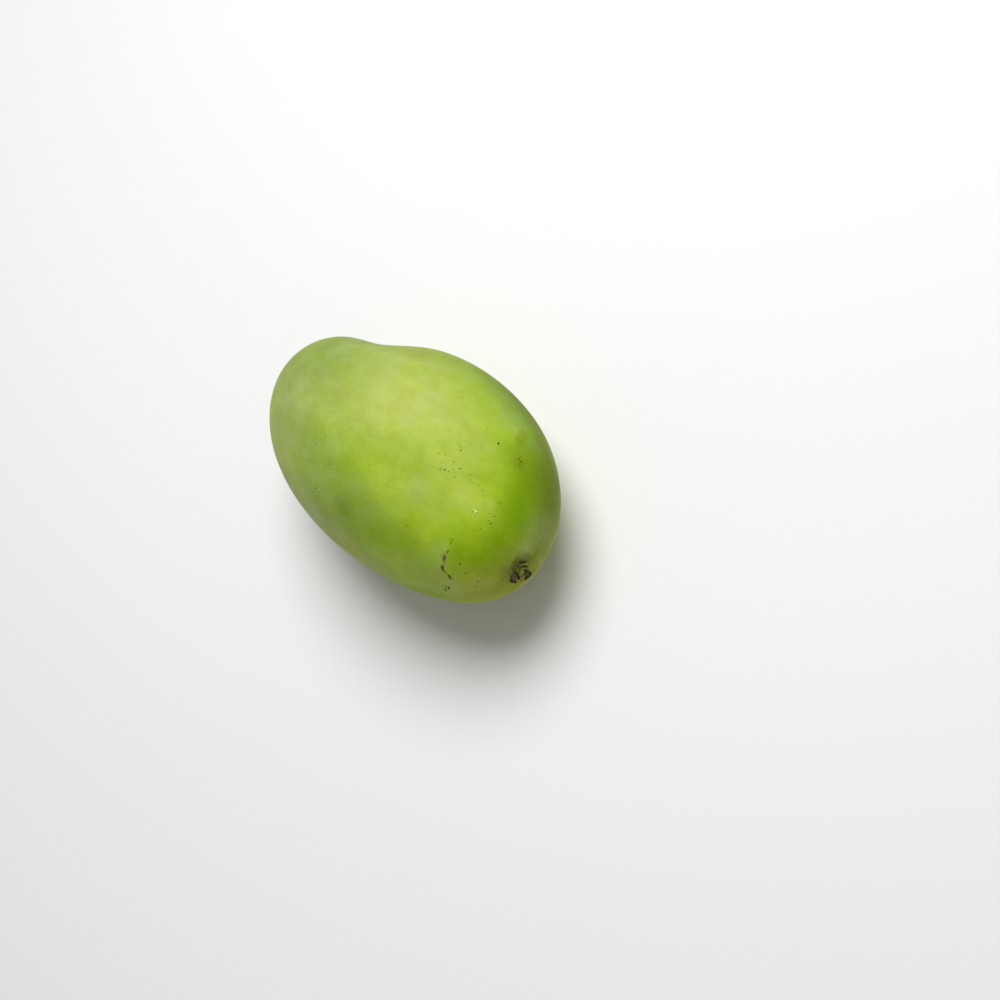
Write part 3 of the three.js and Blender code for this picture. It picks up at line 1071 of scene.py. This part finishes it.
class MANGO_OT_grow_scar(bpy.types.Operator):
    """Grow the stem scar: dark flakes, pale chips, the stub and its pith"""

    bl_idname = "mango.grow_scar"
    bl_label = "Grow the stem scar"

    def execute(self, context):
        colours = context.scene.mango_colours
        flakes = paint_cork("grey cork", colours.crust, colours.cork_light, scale=1500)
        lay_crusts("scar_flakes", GREY_FLAKES, flakes)
        lay_crusts("scar_crust", DARK_FLAKES, paint_cork("dark cork", colours.cork_dark, colours.crust))
        lay_crusts("scar_chips", SCAR_CHIPS, paint_cork("pale cork", colours.stub, colours.tan))
        lay_crusts("scar_stub", STUB, paint_cork("stub wood", colours.stub, colours.tan, 0.75))
        lay_crusts("scar_pith", STUB_PITH, paint_cork("stub pith", colours.umber, colours.russet, 0.75))
        return {"FINISHED"}


class MANGO_OT_heal_graze(bpy.types.Operator):
    """Lay the healed graze: tan cork and the dark crusts along it"""

    bl_idname = "mango.heal_graze"
    bl_label = "Heal the graze"

    def execute(self, context):
        colours = context.scene.mango_colours
        lay_crusts("graze_tan", GRAZE_TAN, paint_cork("tan cork", colours.graze, colours.bruise))
        lay_crusts("graze_healed", HEALED_CHIPS, paint_cork("healed cork", colours.tan, colours.healed))
        lay_crusts("graze_crust", GRAZE_CRUST, paint_cork("graze crust", colours.crust, colours.speck))
        lay_crusts("russet_strokes", RUSSET_STROKES, paint_cork("russet stroke", colours.stub, colours.tan))
        return {"FINISHED"}


class MANGO_OT_dot_specks(bpy.types.Operator):
    """Dot the skin with its specks, on the hidden sides too"""

    bl_idname = "mango.dot_specks"
    bl_label = "Dot the specks"

    def execute(self, context):
        colours = context.scene.mango_colours
        marks = context.scene.mango_marks
        hidden = hidden_places(marks.hidden_specks, marks.seed)
        dark_count = int(len(hidden) * HIDDEN_DARK_SHARE)
        dark = paint_cork("dark speck", colours.cork_dark, colours.speck)
        lay_specks("dark_specks", DARK_SPECKS, dark, hidden[:dark_count])
        faint = paint_cork("faint speck", colours.speck, colours.fresh)
        lay_specks("faint_specks", FAINT_SPECKS, faint, hidden[dark_count:])
        lay_specks("pale_specks", PALE_SPECKS, paint_cork("pale speck", colours.pore, colours.straw))
        return {"FINISHED"}


class MANGO_OT_drip_sap(bpy.types.Operator):
    """Leave the small dried drop of sap on the cheek, its glints painted on its beads"""

    bl_idname = "mango.drip_sap"
    bl_label = "Drip the sap"

    def execute(self, context):
        colours = context.scene.mango_colours
        film = paint_sap("sap film", colours.olive, colours.fresh)
        lay_crusts("sap_film", SAP_FILM, film, rings=5, segments=28)
        beads = paint_sap("dried sap", colours.straw, colours.sap)
        lay_crusts("sap_beads", SAP_GLINT_BEADS, beads, rings=6, segments=24)
        return {"FINISHED"}


# Studio
KEY_PLACE = Vector((-0.15, 0.41, 0.92))
KEY_AIM = Vector((0, 0, 0.03))
KEY_SIZE = 0.7
FLOOR_SQUARES = 8


class MangoStudio(bpy.types.PropertyGroup):
    """Floor and light."""

    floor_size: FloatProperty(
        name="Floor size", description="Width of the plain floor", default=6.0, min=0.5, unit="LENGTH")
    floor_tone: FloatProperty(
        name="Floor tone", description="How pale the floor is", default=0.9, min=0, max=1, subtype="FACTOR")
    key_power: FloatProperty(
        name="Key light", description="Power of the broad overhead light", default=9.5, min=0, unit="POWER")
    sky: FloatProperty(
        name="Surrounding light", description="Strength of the even light from all round",
        default=0.28, min=0)


class MANGO_OT_set_studio(bpy.types.Operator):
    """Set the floor, the soft lights and the camera"""

    bl_idname = "mango.set_studio"
    bl_label = "Set the studio"

    def execute(self, context):
        studio = context.scene.mango_studio
        lay_floor(studio)
        hang_light("key", KEY_PLACE, KEY_AIM, KEY_SIZE, studio.key_power)
        light_surroundings(studio)
        place_camera()
        context.scene.view_settings.view_transform = "Standard"
        return {"FINISHED"}


def lay_floor(studio):
    """A plain pale floor that the fruit lies on."""
    mesh = bpy.data.meshes.new("floor")
    build = bmesh.new()
    bmesh.ops.create_grid(
        build, x_segments=FLOOR_SQUARES, y_segments=FLOOR_SQUARES, size=studio.floor_size / 2)
    build.to_mesh(mesh)
    build.free()
    floor = link(bpy.data.objects.new("floor", mesh))
    material = empty_material("floor")
    graph = Graph(material.node_tree)
    graph.feed(material.node_tree.nodes["Principled BSDF"], {
        "Base Color": opaque([studio.floor_tone] * 3), "Roughness": 0.9, "Specular IOR Level": 0.1})
    mesh.materials.append(material)


def hang_light(name, place, aim, size, power):
    light = bpy.data.lights.new(name, "AREA")
    light.shape = "DISK"
    light.size = size
    light.energy = power
    lamp = link(bpy.data.objects.new(name, light))
    lamp.location = place
    lamp.rotation_euler = (place - aim).to_track_quat("Z", "Y").to_euler()


def light_surroundings(studio):
    world = bpy.data.worlds.new("surroundings")
    world.use_nodes = True
    background = world.node_tree.nodes["Background"]
    background.inputs["Color"].default_value = (1.0, 1.0, 1.0, 1.0)
    background.inputs["Strength"].default_value = studio.sky
    bpy.context.scene.world = world


def place_camera():
    camera = bpy.data.cameras.new("camera")
    camera.sensor_width = SENSOR
    camera.lens = SENSOR * FOCAL_PX / PHOTO_SIZE
    camera.clip_start = 10 * MM
    holder = link(bpy.data.objects.new("camera", camera))
    turn = Matrix((CAMERA_RIGHT, CAMERA_UP, CAMERA_BACK)).transposed()
    holder.matrix_world = Matrix.Translation(CAMERA_PLACE) @ turn.to_4x4()
    bpy.context.scene.camera = holder


class MANGO_PT_sidebar(bpy.types.Panel):
    """The mango's sizes, colours and steps"""

    bl_idname = "MANGO_PT_sidebar"
    bl_label = "Green mango"
    bl_space_type = "VIEW_3D"
    bl_region_type = "UI"
    bl_category = "Mango"

    def draw(self, context):
        for group in SETTINGS:
            settings = getattr(context.scene, group)
            for name in setting_names(settings):
                self.layout.prop(settings, name)
        for operator in STEPS:
            self.layout.operator(operator.bl_idname)


STEPS = (
    MANGO_OT_grow_skin, MANGO_OT_paint_skin, MANGO_OT_grow_pores, MANGO_OT_grow_scar,
    MANGO_OT_heal_graze, MANGO_OT_dot_specks, MANGO_OT_drip_sap, MANGO_OT_set_studio,
)
SETTINGS = {
    "mango_shape": MangoShape, "mango_colours": MangoColours, "mango_marks": MangoMarks,
    "mango_studio": MangoStudio,
}
CLASSES = (*SETTINGS.values(), *STEPS, MANGO_PT_sidebar)


def register():
    for one in CLASSES:
        bpy.utils.register_class(one)
    for name, group in SETTINGS.items():
        setattr(bpy.types.Scene, name, PointerProperty(type=group))


def unregister():
    for name in SETTINGS:
        delattr(bpy.types.Scene, name)
    for one in reversed(CLASSES):
        bpy.utils.unregister_class(one)


def main():
    register()
    bpy.ops.mango.grow_skin()
    bpy.ops.mango.paint_skin()
    bpy.ops.mango.grow_pores()
    bpy.ops.mango.grow_scar()
    bpy.ops.mango.heal_graze()
    bpy.ops.mango.dot_specks()
    bpy.ops.mango.drip_sap()
    bpy.ops.mango.set_studio()


if __name__ == "__main__":
    main()
